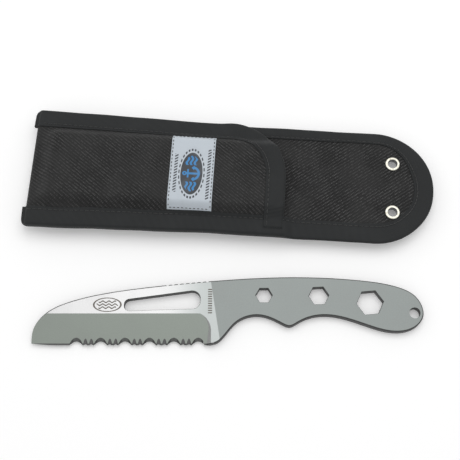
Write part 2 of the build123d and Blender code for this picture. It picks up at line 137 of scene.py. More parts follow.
# %% Camera
CAMERA_TILT = math.radians(20)
CAMERA_DISTANCE = 0.5048
LENS = 70.6
look_at = Vector((-0.2, -2.0, 0)) * MM
backwards = Vector((0, -math.sin(CAMERA_TILT), math.cos(CAMERA_TILT)))
camera = bpy.data.objects.new("camera", bpy.data.cameras.new("camera"))
bpy.context.scene.collection.objects.link(camera)
bpy.context.scene.camera = camera
camera.data.lens = LENS
camera.data.clip_start = 0.01
camera.location = look_at + backwards * CAMERA_DISTANCE
camera.rotation_mode = "QUATERNION"
camera.rotation_quaternion = (-backwards).to_track_quat("-Z", "Y")
print("camera", [round(value, 3) for value in camera.location])

# %% [markdown]
# ## The floor and the light
# A pale table, a bright even sky and two large soft lamps. A wide light over the top gives the flat
# steel its bright, even sheen. The walls of the plate face sideways and catch less of it, and their
# colour is also painted dark as shade.

# %% Floor
FLOOR_SIDE = 6.0
FLOOR_DROP = 0.1 * MM
PAPER_GLOW = 0.18       # a lit table, so that shadows stay faint
floor_form = bmesh.new()
bmesh.ops.create_grid(floor_form, x_segments=1, y_segments=1, size=FLOOR_SIDE / 2)
bmesh.ops.translate(floor_form, verts=floor_form.verts, vec=(0, 0, -FLOOR_DROP))
floor_mesh = bpy.data.meshes.new("floor")
floor_form.to_mesh(floor_mesh)
floor_form.free()
floor = bpy.data.objects.new("floor", floor_mesh)
paper = bpy.data.materials.new("paper")
paper.use_nodes = True
paper_look = {"Base Color": (0.94, 0.94, 0.94, 1), "Roughness": 0.9,
              "Emission Color": (1, 1, 1, 1), "Emission Strength": PAPER_GLOW}
for name, value in paper_look.items():
    paper.node_tree.nodes["Principled BSDF"].inputs[name].default_value = value
floor_mesh.materials.append(paper)
bpy.context.scene.collection.objects.link(floor)
floor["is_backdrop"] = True

# %% Lights
scene = bpy.context.scene
scene.view_settings.view_transform = "Standard"
scene.world = bpy.data.worlds.new("studio")
scene.world.use_nodes = True
sky = scene.world.node_tree.nodes["Background"]
sky.inputs["Color"].default_value = (1.0, 1.0, 1.0, 1)
sky.inputs["Strength"].default_value = 0.60


def lamp(name, location, size, power):
    """A square soft lamp that points at the middle of the table."""
    light = bpy.data.lights.new(name, "AREA")
    light.shape = "SQUARE"
    light.size = size
    light.energy = power
    holder = bpy.data.objects.new(name, light)
    holder.location = location
    holder.rotation_mode = "QUATERNION"
    holder.rotation_quaternion = (-Vector(location)).to_track_quat("-Z", "Y")
    scene.collection.objects.link(holder)
    print("lamp", name, power, "W")


lamp("top_lamp", (0.1, 0.35, 1.1), 1.0, 4.8)
lamp("side_lamp", (-0.9, 0.5, 0.8), 0.6, 0.6)

# %% [markdown]
# ## Writing materials as sums
# A pattern such as a weave is a small sum on the place of a point. The class below wraps one socket of
# a material, so that the sum reads as plain Python and each operator adds its own Math node. Any other
# node comes from one method, which takes its type, its settings and what goes into its sockets.

# %% Shader maths
class Shade:
    """One socket of a material."""

    def __init__(self, tree, socket):
        self.tree = tree
        self.socket = socket

    def node(self, kind, settings, inputs, output=0):
        """Adds a node, with its settings first, and returns one of its outputs."""
        made = self.tree.nodes.new("ShaderNode" + kind)
        for name, value in settings.items():
            setattr(made, name, value)
        for name, value in inputs.items():
            if isinstance(value, Shade):
                self.tree.links.new(value.socket, made.inputs[name])
            else:
                made.inputs[name].default_value = value
        return Shade(self.tree, made.outputs[output] if made.outputs else None)

    def maths(self, operation, *others):
        return self.node("Math", {"operation": operation}, dict(enumerate([self, *others])))

    def __add__(self, other):
        return self.maths("ADD", other)

    __radd__ = __add__

    def __sub__(self, other):
        return self.maths("SUBTRACT", other)

    def __rsub__(self, other):
        return self.maths("MULTIPLY_ADD", -1.0, other)

    def __mul__(self, other):
        return self.maths("MULTIPLY", other)

    __rmul__ = __mul__

    def __truediv__(self, other):
        return self.maths("DIVIDE", other)

    def __abs__(self):
        return self.maths("ABSOLUTE")

    def sine(self):
        return self.maths("SINE")

    def ramp(self, low, high):
        """0 below low and 1 above high, turning smoothly between them."""
        settings = {"interpolation_type": "SMOOTHSTEP"}
        return self.node("MapRange", settings, {"Value": self, "From Min": low, "From Max": high})

    def mix(self, low, high):
        """A colour between two, with this socket as the share of the second."""
        settings = {"data_type": "RGBA", "clamp_factor": True}
        return self.node("Mix", settings, {0: self, 6: low, 7: high}, 2)


def inside(distance):
    """1 where a distance is below nothing, with an edge a tenth of a millimetre wide."""
    return 1 - distance.ramp(-0.05, 0.05)


def either(mark, *others):
    """1 where any of the marks is 1."""
    for other in others:
        mark = mark.maths("MAXIMUM", other)
    return mark


def bar(u, v, centre_u, centre_v, half_u, half_v):
    """1 on a straight bar."""
    far_u = abs(u - centre_u) - half_u
    far_v = abs(v - centre_v) - half_v
    return inside(far_u.maths("MAXIMUM", far_v))


print("shader maths is ready")

# %% Starting and ending a material
def start_material(name):
    """A new material with an empty tree, and a Shade to begin its sums from."""
    material = bpy.data.materials.new(name)
    material.use_nodes = True
    material.node_tree.nodes.clear()
    return material, Shade(material.node_tree, None)


def end_material(start, fixed, varying, height=None, depth=0.0):
    """Adds the shader. Fixed numbers stand on its sockets, and height in millimetres bumps it."""
    if height is not None:
        bump = {"Height": height, "Distance": MM, "Strength": depth}
        varying = {**varying, "Normal": start.node("Bump", {}, bump)}
    surface = start.node("BsdfPrincipled", {}, {**fixed, **varying})
    start.node("OutputMaterial", {}, {"Surface": surface})


def grey(level):
    """A neutral colour, as a shader wants it."""
    return (level, level, level, 1)


def colour(red, green, blue):
    """A colour, as a shader wants it."""
    return (red, green, blue, 1)


def speckle(spot, scale, detail):
    """Even noise at a place."""
    return spot.node("TexNoise", {}, {"Vector": spot, "Scale": scale, "Detail": detail})


def finish_node(name, material):
    """Gives a hard piece of the frame its finish."""
    finishes = nodes[name].data.materials
    finishes.clear()
    finishes.append(material)


# %% [markdown]
# ## Steel, cut and ground
# The whole knife is one plate, yet it shows four finishes. The grip and the hollow of the bevel are
# blasted with glass beads, which leaves an even grey grain. The flat of the blade is rubbed on a belt
# to a bright satin, with hair-fine lines. The sawn walls and chamfers are painted dark, partly as dull
# cut steel and partly as painted shade. The scallops show the marks of the wheel and are painted dark
# as shade. The finish follows from the place of a point on the knife's own ruler, so one material
# serves the whole piece and there are no seams between finishes.

# %% The knife's ruler and its landmarks, in millimetres from the tip and the edge
knife_low, knife_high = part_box("knife")
PLATE = (knife_high.z - knife_low.z) / MM
GRIND_LINE = 16.9       # height of the bevel's upper edge
GRIND_END = 95.6
FINISH_LINE = 100.7     # where the satin ends, at the edge
FINISH_LEAN = 0.153     # how much the line leans back for each millimetre of height
SCALLOP_BAND = 5.4
BADGE = (39.7, 21.7)    # centre of the etched badge
BADGE_SIZE = (7.6, 3.9)
LADDER = (95.0, 23.8)   # centre of a short scale of etched lines beside the grip
LADDER_SIZE = (1.1, 7.3)
LADDER_STEP = 1.3
# centre and half size of two bars that hold the sloping wall at the end of the bevel
PLUNGE_BARS = ((GRIND_END - 5.6, GRIND_LINE - 5.0, 7.2, 6.0), (GRIND_END - 1.3, 5.0, 2.8, 4.2))
# how upright a normal stands where each kind of face ends and where the next begins
FACE_RISE = (0.9995, 0.9999)
BEVEL_RISE = (0.972, 0.99)
PLUNGE_RISE = (0.82, 0.92)
WALL_RISE = (0.76, 0.86)
print("plate", round(PLATE, 2), "mm, knife", round((knife_high.x - knife_low.x) / MM, 1), "mm long")


# %% Darkest and lightest tone of each finish
BLASTED = (colour(0.255, 0.275, 0.268), colour(0.345, 0.372, 0.362))
GROUND = (colour(0.26, 0.285, 0.26), colour(0.35, 0.385, 0.35))
SATIN = (grey(0.54), grey(0.66))
SATIN_BY_GRIP = (colour(0.28, 0.31, 0.30), colour(0.33, 0.36, 0.355))
# scallops: the marks of the wheel, painted dark as shade
WHEEL_CUT_AND_PAINTED_SHADE = (grey(0.05), grey(0.26))
PLUNGE_CUT = (grey(0.42), grey(0.56))
# walls and chamfers: dull cut steel, painted darker as shade
SAWN_AND_PAINTED_SHADE = (grey(0.05), grey(0.13))
ETCHED = colour(0.16, 0.14, 0.12)
print("satin from", SATIN[0][0], "to", SATIN[1][0])


# %% The etched badge
def ring(distance, radius, width):
    """1 on a thin line where a distance equals a radius."""
    return 1 - abs(distance - radius).ramp(width * 0.5, width)


def etched_badge(x, y):
    """An oval line round three waves: a plain mark of the sea."""
    across_badge = (x - BADGE[0]) / BADGE_SIZE[0]
    up_badge = (y - BADGE[1]) / BADGE_SIZE[1]
    from_centre = (across_badge * across_badge + up_badge * up_badge).maths("SQRT")
    marks = [ring(from_centre, 0.96, 0.08)]
    for level, reach_out in ((-0.42, 0.62), (0.0, 0.76), (0.42, 0.62)):
        wave = ((x - BADGE[0]) * 1.9).sine() * 0.11 + level
        middle = 1 - abs(across_badge).ramp(reach_out - 0.02, reach_out + 0.02)
        marks.append(ring(up_badge - wave, 0.0, 0.12) * middle)
    return either(*marks)


def etched_ladder(x, y):
    """A short scale of lines, one every LADDER_STEP."""
    rungs = (y * (math.tau / LADDER_STEP)).sine().ramp(-0.1, 0.3)
    return bar(x, y, *LADDER, *LADDER_SIZE) * rungs


# %% Steel material
steel, start = start_material("knife_steel")
spot = start.node("TexCoord", {}, {}, "Object")
facing = start.node("TexCoord", {}, {}, "Normal")
ruler = {"vector_type": "POINT"}
on_knife = start.node("Mapping", ruler, {"Vector": spot, "Location": tuple(-knife_low / MM),
                                         "Scale": (1 / MM, 1 / MM, 1 / MM)})
x, y, z = [start.node("SeparateXYZ", {}, {"Vector": on_knife}, axis) for axis in range(3)]
up = abs(start.node("SeparateXYZ", {}, {"Vector": facing}, 2))

on_face = up.ramp(*FACE_RISE)
plunge = either(*[bar(x, y, *place) for place in PLUNGE_BARS]) * (1 - up.ramp(*PLUNGE_RISE))
on_wall = (1 - up.ramp(*WALL_RISE)) * (1 - plunge)
on_blade = 1 - (x + y * FINISH_LEAN).ramp(FINISH_LINE - 0.25, FINISH_LINE + 0.25)
flat = on_face * on_blade
under_line = 1 - y.ramp(GRIND_LINE + 0.5, GRIND_LINE + 1.5)
on_grind = (1 - on_face) * (1 - on_wall) * on_blade * under_line
in_band = 1 - y.ramp(SCALLOP_BAND - 0.1, SCALLOP_BAND + 0.1)
scallop = on_grind * in_band * (1 - up.ramp(*BEVEL_RISE))

grain = speckle(on_knife, 3.2, 3.0)
patches = speckle(on_knife, 0.06, 2.0)
stretched = start.node("Mapping", ruler, {"Vector": on_knife, "Scale": (9.0, 0.35, 1.0)})
lines = speckle(stretched, 1.0, 2.0)
wheel_marks = ((x * 14.0).sine() * 0.5 + 0.5) * 0.5 + lines * 0.5
etched = either(etched_badge(x, y), etched_ladder(x, y)) * flat

tone = on_grind.mix(grain.mix(*BLASTED), grain.mix(*GROUND))
satin = (x.ramp(66.0, 94.0) * 0.75).mix(lines.mix(*SATIN), lines.mix(*SATIN_BY_GRIP))
tone = flat.mix(tone, satin)
# painted shade on the scallops, whose faces tilt away from the light
tone = scallop.mix(tone, wheel_marks.mix(*WHEEL_CUT_AND_PAINTED_SHADE))
tone = plunge.mix(tone, grain.mix(*PLUNGE_CUT))
# painted shade on the walls and chamfers, which face sideways
tone = on_wall.mix(tone, grain.mix(*SAWN_AND_PAINTED_SHADE))
tone = (etched * 0.9).mix(tone, ETCHED)
tone = (patches.ramp(0.35, 0.75) * 0.10).mix(tone, grey(0.25))
roughness = 0.52 - flat * 0.20 + lines * flat * 0.10 + etched * 0.25 + grain * 0.06
height = grain * (1 - flat) * 0.020 + lines * flat * 0.004 + wheel_marks * scallop * 0.02 - etched * 0.02
end_material(start, {"Metallic": 1.0, "Specular IOR Level": 0.5},
             {"Base Color": tone, "Roughness": roughness}, height, 0.8)
finish_node("knife", steel)
print("steel nodes", len(steel.node_tree.nodes))

# %% [markdown]
# ## Plated brass and black sheet plastic
# The eyelets are pressed from brass and nickel plated. The plate is bright, a little warm, and scuffed
# in small spots where cord has rubbed. Their bores face sideways and are painted dark grey as shade.
# The guard in the pocket is a tube of black plastic sheet.

# %% Plated brass
plate, start = start_material("plated_brass")
spot = start.node("TexCoord", {}, {}, "Object")
scuffs = speckle(spot, 900.0, 4.0)
level = start.node("SeparateXYZ", {}, {"Vector": start.node("TexCoord", {}, {}, "Normal")}, 2)
plating_and_bore_shade = scuffs.ramp(0.45, 0.7).mix(colour(0.58, 0.57, 0.50), colour(0.42, 0.40, 0.33))
# painted shade: the bore, which faces sideways, turns dark grey
plating_and_bore_shade = (1 - abs(level).ramp(0.35, 0.85)).mix(plating_and_bore_shade, grey(0.16))
end_material(start, {"Metallic": 1.0}, {"Base Color": plating_and_bore_shade, "Roughness": scuffs * 0.25 + 0.14},
             scuffs, 0.02)
for side in ("near", "far"):
    finish_node(f"{side}_eyelet", plate)
    finish_node(f"{side}_eyelet_washer", plate)
print("plate nodes", len(plate.node_tree.nodes))

# %% Sheet plastic
plastic, start = start_material("guard_plastic")
spot = start.node("TexCoord", {}, {}, "Object")
pores = speckle(spot, 1500.0, 3.0)
scrapes = speckle(spot, 60.0, 4.0)
black = scrapes.ramp(0.5, 0.8).mix(grey(0.012), grey(0.035))
end_material(start, {"IOR": 1.49}, {"Base Color": black, "Roughness": pores * 0.2 + 0.4}, pores, 0.1)
finish_node("blade_guard", plastic)
print("metal and plastic are ready")

# %% [markdown]
# ## Ballistic nylon
# The pocket is sewn from ballistic nylon, a heavy cloth of thick, slightly glossy yarns. Each yarn
# passes over two and then under two, one step further on each row, which gives the diagonal ribs.
# The sum below asks of each point which yarn it is on and whether that yarn is on top there. It runs on
# the piece's own UV map, in millimetres, so that the weave turns over the fold with the cloth.

# %% Weave
WARP = 0.70             # yarn spacing along the sheath
WEFT = 0.50             # and across it
FLOATS = 4              # yarns in one repeat: two over, two under


def weave(u, v):
    """Height from 0 to 1, 1 where a lengthwise yarn is on top, and chance for each crossing."""
    column = u / WARP
    row = v / WEFT
    half_turn = math.pi / (FLOATS / 2)
    over = ((row - column.maths("FLOOR")) * half_turn).sine()
    under = ((column - row.maths("FLOOR")) * half_turn).sine()
    warp = over.maths("MAXIMUM", 0.0) * (column.maths("FRACT") * math.pi).sine()
    weft = (under * -1).maths("MAXIMUM", 0.0) * (row.maths("FRACT") * math.pi).sine()
    crossing = u.node("CombineXYZ", {}, {0: column.maths("FLOOR"), 1: row.maths("FLOOR")})
    chance = u.node("TexWhiteNoise", {"noise_dimensions": "2D"}, {"Vector": crossing})
    return warp.maths("MAXIMUM", weft), over.maths("GREATER_THAN", 0.0), chance


def start_cloth(name):
    """A new material with the place on the cloth, in millimetres."""
    material, start = start_material(name)
    spot = start.node("UVMap", {"uv_map": "cloth"}, {})
    u, v = [start.node("SeparateXYZ", {}, {"Vector": spot}, axis) * (1 / MM) for axis in range(2)]
    return material, start, u, v


def fuzz(u, v, size, detail=3.0):
    """Even noise on the cloth, with spots of a size in millimetres."""
    return speckle(u.node("CombineXYZ", {}, {0: u, 1: v}), 1 / size, detail)


def ballistic(name, dark, light):
    """Ballistic nylon between two tones. Its yarn crests are painted lighter as sheen, in ribs that
    break and fade as real yarns do.
    """
    material, start, u, v = start_cloth(name)
    drift = fuzz(u, v, 14.0) * 0.5
    cloth, warp_up, chance = weave(u + drift, v + drift)
    fibres = fuzz(u * 6, v, 0.25)
    wear = fuzz(u, v, 22.0)
    broken = chance * 0.3 + fuzz(u, v, 1.3, 1.0).ramp(0.40, 0.60)
    faded = fuzz(u, v, 9.0, 1.0).ramp(0.35, 0.65)
    # painted sheen: the crests of the yarns are painted lighter, the lengthwise ones most
    crest_sheen = cloth.ramp(0.3, 1.0) * (warp_up * 0.5 + 0.5) * (fibres * 0.7 + 0.65)
    crest_sheen = crest_sheen * (broken * (faded * 0.6 + 0.5) + 0.18)
    tone = crest_sheen.mix(grey(dark), grey(light))
    tone = (wear.ramp(0.42, 0.60) * 0.4).mix(tone, grey(dark * 0.7 + light * 0.3))
    fixed = {"IOR": 1.5, "Specular IOR Level": 0.3, "Sheen Weight": 0.06, "Sheen Roughness": 0.5}
    end_material(start, fixed, {"Base Color": tone, "Roughness": 0.75 - crest_sheen * 0.25},
                 cloth * 0.12 + fibres * 0.02, 0.9)
    return material


outer_nylon = ballistic("ballistic_nylon", 0.013, 0.078)
tab_nylon = ballistic("ballistic_nylon_inner", 0.009, 0.098)
print("weave repeat", round(WARP * FLOATS, 2), "by", round(WEFT * FLOATS, 2), "mm")

# %% [markdown]
# ## Tape, webbing, lining, foam and thread
# Binding tape is a narrow ribbed ribbon. Its ribs cross it, so it bends round a corner without a
# pleat. Webbing is thicker, with slanting ribs that meet along its middle. The lining is a smooth knit
# and the foam is a fine sponge. Both can be seen in the mouth of the pocket.

# %% Tape
RIB = 0.62              # from one rib to the next


def ribbed(name, dark, light, slant):
    """A ribbed ribbon. The slant leans its ribs by that share of the distance across."""
    material, start, u, v = start_cloth(name)
    wander = fuzz(u, v, 5.0) * 0.25
    lean = abs(v) * slant
    ribs = ((u + lean + wander) * (math.tau / RIB)).sine() * 0.5 + 0.5
    cross = (v * (math.tau / (RIB * 0.8))).sine() * 0.5 + 0.5
    fibres = fuzz(u, v * 5, 0.2)
    rubbed = fuzz(u, v, 16.0)
    thread_tone = ribs * (cross * 0.35 + 0.65) * (fibres * 0.5 + 0.75)
    tone = thread_tone.mix(dark, light)
    tone = (rubbed.ramp(0.45, 0.8) * 0.3).mix(tone, light)
    fixed = {"IOR": 1.5, "Specular IOR Level": 0.3, "Sheen Weight": 0.08, "Sheen Roughness": 0.4}
    end_material(start, fixed, {"Base Color": tone, "Roughness": 0.72 - ribs * 0.15},
                 ribs * 0.10 + cross * 0.03 + fibres * 0.02, 0.8)
    return material


TAPE_TONES = (colour(0.0095, 0.0105, 0.011), colour(0.033, 0.0355, 0.0365))
tape_ribbon = ribbed("binding_tape", *TAPE_TONES, 0.0)
belt_webbing = ribbed("webbing", grey(0.006), grey(0.034), 0.9)
print("rib", RIB, "mm")

# %% Lining, foam and thread
def plain_cloth(name, dark, light, size, depth, roughness):
    """A fine cloth or sponge that only shows a grain."""
    material, start, u, v = start_cloth(name)
    pores = fuzz(u, v, size, 4.0)
    stains = fuzz(u, v, 18.0)
    tone = pores.ramp(0.3, 0.7).mix(grey(dark), grey(light))
    tone = (stains.ramp(0.4, 0.8) * 0.4).mix(tone, grey(dark))
    fixed = {"IOR": 1.45, "Sheen Weight": 0.2}
    end_material(start, fixed, {"Base Color": tone, "Roughness": pores * 0.1 + roughness},
                 pores, depth)
    return material


lining_knit = plain_cloth("lining_cloth", 0.018, 0.05, 0.5, 0.12, 0.8)
foam_sponge = plain_cloth("foam", 0.02, 0.06, 0.35, 0.25, 0.9)

thread_black, start = start_material("thread")
spot = start.node("TexCoord", {}, {}, "Object")
twist = start.node("TexWave", {"bands_direction": "DIAGONAL"}, {"Vector": spot, "Scale": 900.0})
strand = twist.mix(grey(0.008), grey(0.034))
end_material(start, {"IOR": 1.5, "Sheen Weight": 0.3},
             {"Base Color": strand, "Roughness": twist * 0.2 + 0.45}, twist, 0.06)
print("cloth materials are ready")

# %% [markdown]
# ## The woven label
# A small satin label is sewn across the pocket. It carries a plain mark of the sea in place of a
# maker's: a blue anchor between waves on a dark oval, inside a ring of dots, with a twisted rope above
# and below. Each shape is a sum of distances, so its edge stays sharp at any size.

# %% Anchor, waves and rope
ANCHOR = 4.7            # height of the anchor from its middle, in millimetres
OVAL = (12.6, 6.1)      # half the size of the dark field
ROPES = ((8.9, 11.5), (-9.4, 15.0))     # height and half length of each rope
ROPE = 0.9              # half a rope's thickness
DOTS = 26               # pairs of dots round the field


def round_line(u, v, centre_v, radius, half_width):
    """A ring of some thickness."""
    away = (u * u + (v - centre_v) * (v - centre_v)).maths("SQRT")
    return inside(abs(away - radius) - half_width)


def anchor(u, v):
    """Ring, stock, shank, and arms that curve up from the crown to two points."""
    eye = round_line(u, v, ANCHOR * 0.82, ANCHOR * 0.18, 0.40)
    stock = bar(u, v, 0, ANCHOR * 0.42, ANCHOR * 0.54, 0.48)
    shank = bar(u, v, 0, -ANCHOR * 0.08, 0.60, ANCHOR * 0.72)
    arms = round_line(u, v, -ANCHOR * 0.08, ANCHOR * 0.78, 0.66) * inside(v + ANCHOR * 0.24)
    beside = abs(abs(u) - ANCHOR * 0.72)
    points = inside(beside + abs(v + ANCHOR * 0.24) - 1.25)
    return either(eye, stock, shank, arms, points)


def waves(u, v, share):
    """Three wavy lines on each side of the anchor, kept inside the oval."""
    sides = abs(u).ramp(ANCHOR + 0.2, ANCHOR + 0.4) * (1 - share.ramp(0.84, 0.86))
    marks = []
    for level in (-1.9, 0.3, 2.5):
        wave = v - (u * 1.25).sine() * 0.55 - level
        marks.append(inside(abs(wave) - 0.66))
    return either(*marks) * sides


def rope(u, v, height, half_length):
    """A twisted rope: slanting strokes in a bar."""
    strokes = ((u + v * 0.6) * (math.tau / 1.7)).sine().ramp(-0.35, 0.15)
    return bar(u, v, 0, height, half_length, ROPE) * strokes


# %% Label material
satin_label, start, u, v = start_cloth("label_satin")
wide = u / OVAL[0]
tall = v / OVAL[1]
share = (wide * wide + tall * tall).maths("SQRT")
disc = inside((share - 1) * OVAL[1])
bearing = tall.maths("ARCTAN2", wide)
dots = (bearing * DOTS).sine().ramp(-0.5, 0.0)
border = inside(abs((share - 1.14) * OVAL[1]) - 0.32) * dots
ropes = either(*[rope(u, v, *place) for place in ROPES])
fill = (u * 9.0).sine() * 0.5 + 0.5
picks = (v * (math.tau / 0.45)).sine() * 0.5 + 0.5
ends = (u * (math.tau / 0.30)).sine() * 0.5 + 0.5
satin = (picks * 0.7 + ends * 0.3).mix(colour(0.50, 0.55, 0.60), colour(0.64, 0.70, 0.76))
satin = disc.mix(satin, picks.mix(colour(0.026, 0.030, 0.036), colour(0.055, 0.060, 0.070)))
satin = either(border, ropes).mix(satin, colour(0.035, 0.040, 0.050))
blue = either(anchor(u, v), waves(u, v, share))
satin = (blue * disc).mix(satin, fill.mix(colour(0.03, 0.20, 0.48), colour(0.05, 0.28, 0.62)))
smudge = fuzz(u, v, 9.0)
satin = (smudge.ramp(0.45, 0.8) * 0.18).mix(satin, colour(0.36, 0.40, 0.45))
end_material(start, {"IOR": 1.5, "Sheen Weight": 0.2},
             {"Base Color": satin, "Roughness": picks * 0.12 + 0.42}, picks * 0.05 + ends * 0.02, 0.8)
print("label nodes", len(satin_label.node_tree.nodes))

# %% [markdown]
# ## The shape of the soft sheath
# Foam and cloth have no hard corners. The pocket stands over its stiff guard, slopes to the sewn
# sides, where the layers are pressed flat, and closes round the fold. A few height functions describe
# that, and every layer of cloth is laid on one of them, so that no layer cuts through another.

# %% Outline of the sheath
FOOT = 24.5             # half the width at the foot of the pocket's slopes
SHOULDER = 17.5         # and at their top
PRESSED = 14.0          # width of the strip that the seams press down
FRONT_PRESS = 0.9       # how deep they press the front
BACK_PRESS = 0.5        # the outside of the back
INNER_PRESS = 0.25      # and the inside of the back
MOUTH_SAG = 0.22        # share of the height lost beyond the guard
LUMPS = (30.0, 0.45)    # size and height of the unevenness of the front
PUCKERS = (5.0, 0.22)   # of the small folds beside its seams
TAB_LUMPS = (26.0, 0.22)
THINNEST = 0.14         # share of the thickness that is left at the very fold


def ease(share):
    """A smooth step from 0 to 1."""
    share = min(max(share, 0.0), 1.0)
    return share * share * (3 - 2 * share)


def half_width(x):
    """Half the sheath's width."""
    if x > TAB_CENTRE:
        return math.sqrt(max(TAB_HALF ** 2 - (x - TAB_CENTRE) ** 2, 0.0))
    return FOLD_HALF + (TAB_HALF - FOLD_HALF) * min(max(x, 0.0) / TAPER, 1.0)


def front_edge(x):
    """Upper edge of the pocket's front, which is cut away in an arc at the mouth."""
    if x < CORNER_START:
        return half_width(x)
    return TAB_HALF - CORNER + math.sqrt(max(CORNER ** 2 - (x - CORNER_START) ** 2, 0.0))


def pressed(x, y):
    """1 at the sheath's edge, 0 where the seam no longer presses."""
    if x > TAB_CENTRE:
        return ease(1 - (TAB_HALF - math.hypot(x - TAB_CENTRE, y)) / PRESSED)
    return ease(1 - (half_width(x) - abs(y)) / PRESSED)


def swell(x, y, size, height):
    """Gentle unevenness of cloth, the same on each run."""
    return noise.noise(Vector((x / size, y / size, 0.37))) * height


# %% Heights of the layers
def front_face(x, y):
    """Outside of the pocket's front."""
    side = ease((FOOT - abs(y)) / (FOOT - SHOULDER))
    rise = ease((x - FOLD_RADIUS) / (GUARD_START + 1 - FOLD_RADIUS))
    fall = 1 - MOUTH_SAG * ease((x - GUARD_END) / (MOUTH - GUARD_END))
    loose = ease((x - CORNER_START + 8) / 14) * ease((y + 6) / 18)
    lumps = swell(x, y, *LUMPS) * side * rise
    puckers = swell(x, y * 0.35, *PUCKERS) * ease(1 - abs(abs(y) - FOOT + 3.5) / 5)
    hump = (FRONT_TOP - SEAM_TOP) * side * rise * fall
    return SEAM_TOP + hump + lumps + puckers - FRONT_PRESS * pressed(x, y) * (1 - loose)


def back_face(x, y):
    """Inside of the back, which is also the face of the tab."""
    soft = swell(x, y, *TAB_LUMPS) * ease((x - MOUTH) / 10)
    return BACK_TOP - INNER_PRESS * pressed(x, y) + soft * (1 - pressed(x, y))


def bottom_face(x, y):
    """Outside of the back."""
    return BACK_LOW + BACK_PRESS * pressed(x, y) * (1 - ease((x - MOUTH) / 12) * 0.5)


def closing(x):
    """Share of the thickness that is left at the fold."""
    inward = min(max(x / FOLD_RADIUS, 0.0), 1.0)
    return max(math.sqrt(1 - (1 - inward) ** 2), THINNEST)


print("pocket", round(front_face(60, 0), 2), "seam", round(front_face(60, 30), 2), "mm high")

# %% [markdown]
# ## From a grid to a piece of cloth
# Each layer starts as a flat grid. A function then says where each crossing of the grid lies, both on
# the sheath and on the bolt of cloth, and the second place becomes the UV map that the weave follows.

# %% Cloth helpers
EYELETS = [to_frame.inverted() @ mounts[name] for name in ("near_eyelet_bore", "far_eyelet_bore")]
PUNCHED = 3.35          # radius of the holes that are punched for the eyelets
NEIGHBOURS = 2.2        # how far beyond it a ragged hole may reach


def grid(columns, rows, point):
    """A grid in millimetres. point turns two shares into x, y, z, and two lengths on the cloth."""
    form = bmesh.new()
    bmesh.ops.create_grid(form, x_segments=columns, y_segments=rows, size=1)
    cloth = form.loops.layers.uv.new("cloth")
    made = {corner: point((corner.co.x + 1) / 2, (corner.co.y + 1) / 2) for corner in form.verts}
    for face in form.faces:
        for loop in face.loops:
            loop[cloth].uv = Vector(made[loop.vert][3:]) * MM
    for corner, values in made.items():
        corner.co = values[:3]
    return form


def punch(form):
    """Opens the two eyelet holes and rounds their edges."""
    for hole in EYELETS:
        def away(spot):
            return math.hypot(spot.x - hole.x, spot.y - hole.y)
        gone = [face for face in form.faces if away(face.calc_center_median()) < PUNCHED]
        bmesh.ops.delete(form, geom=gone, context="FACES")
        for corner in form.verts:
            if corner.is_boundary and away(corner.co) < PUNCHED + NEIGHBOURS:
                stretch = PUNCHED / away(corner.co)
                corner.co.x = hole.x + (corner.co.x - hole.x) * stretch
                corner.co.y = hole.y + (corner.co.y - hole.y) * stretch
    return form


def thicken(form, lower):
    """Closes a grid into a slab, down to the height that a function gives."""
    made = bmesh.ops.extrude_face_region(form, geom=form.faces[:], use_keep_orig=True)
    for corner in made["geom"]:
        if isinstance(corner, bmesh.types.BMVert):
            corner.co.z = lower(*corner.co.xy)
    bmesh.ops.recalc_face_normals(form, faces=form.faces[:])
    return form


def piece(name, form, material, slot, *stands_for):
    """Turns a form into an object that rides on the sheath."""
    bmesh.ops.transform(form, matrix=to_frame, verts=form.verts[:])
    mesh = bpy.data.meshes.new(name)
    form.to_mesh(mesh)
    form.free()
    mesh.materials.append(material)
    for face in mesh.polygons:
        face.use_smooth = True
    made = bpy.data.objects.new(name, mesh)
    scene.collection.objects.link(made)
    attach(made, "sheath")
    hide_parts(*stands_for)
    print(name, len(mesh.polygons), "faces")
    return made


# %% [markdown]
# ## The outer cloth
# One long strip makes both the back and the pocket's front. It starts at the mouth, runs to the fold,
# turns round it and comes back as the outside of the back, so there is no seam at the blade's tip.

# %% Outer cloth
STEP = 1.5              # length of a face along the sheath
ACROSS = 46             # faces across it
UNDER_TAPE = 0.3        # how far the raw edges stop inside the tape
front_run = MOUTH - UNDER_TAPE - FOLD_RADIUS
fold_run = math.pi * FOLD_RADIUS
strip_length = front_run + fold_run + LENGTH - UNDER_TAPE - FOLD_RADIUS


def strip_point(share, q):
    """A point of the strip, by its shares along and across."""
    run = share * strip_length
    if run <= front_run:
        x = MOUTH - UNDER_TAPE - run
        y = -half_width(x) + q * (half_width(x) + front_edge(x))
        return x, y, front_face(x, y), run, y
    if run >= front_run + fold_run:
        x = FOLD_RADIUS + run - front_run - fold_run
        y = (2 * q - 1) * half_width(x)
        return x, y, bottom_face(x, y), run, y
    angle = (run - front_run) / FOLD_RADIUS
    y = (2 * q - 1) * half_width(FOLD_RADIUS)
    top = front_face(FOLD_RADIUS, y)
    low = bottom_face(FOLD_RADIUS, y)
    x = FOLD_RADIUS * (1 - math.sin(angle))
    return x, y, (top + low) / 2 + math.cos(angle) * (top - low) / 2, run, y


cloth_form = punch(grid(round(strip_length / STEP), ACROSS, strip_point))
bmesh.ops.reverse_faces(cloth_form, faces=cloth_form.faces[:])
outer_cloth = piece("outer_cloth", cloth_form, outer_nylon, "ballistic_nylon", "shell_cloth")
wall = outer_cloth.modifiers.new("thickness", "SOLIDIFY")
wall.thickness = CLOTH * MM
wall.offset = -1
print("the strip is", round(strip_length), "mm long")

# %% [markdown]
# ## Foam and lining
# A thin foam sheet lies under the outer cloth, and the lining covers it. The tab's face is the inside
# of the back, and is cut from the same nylon as the outside because it shows.

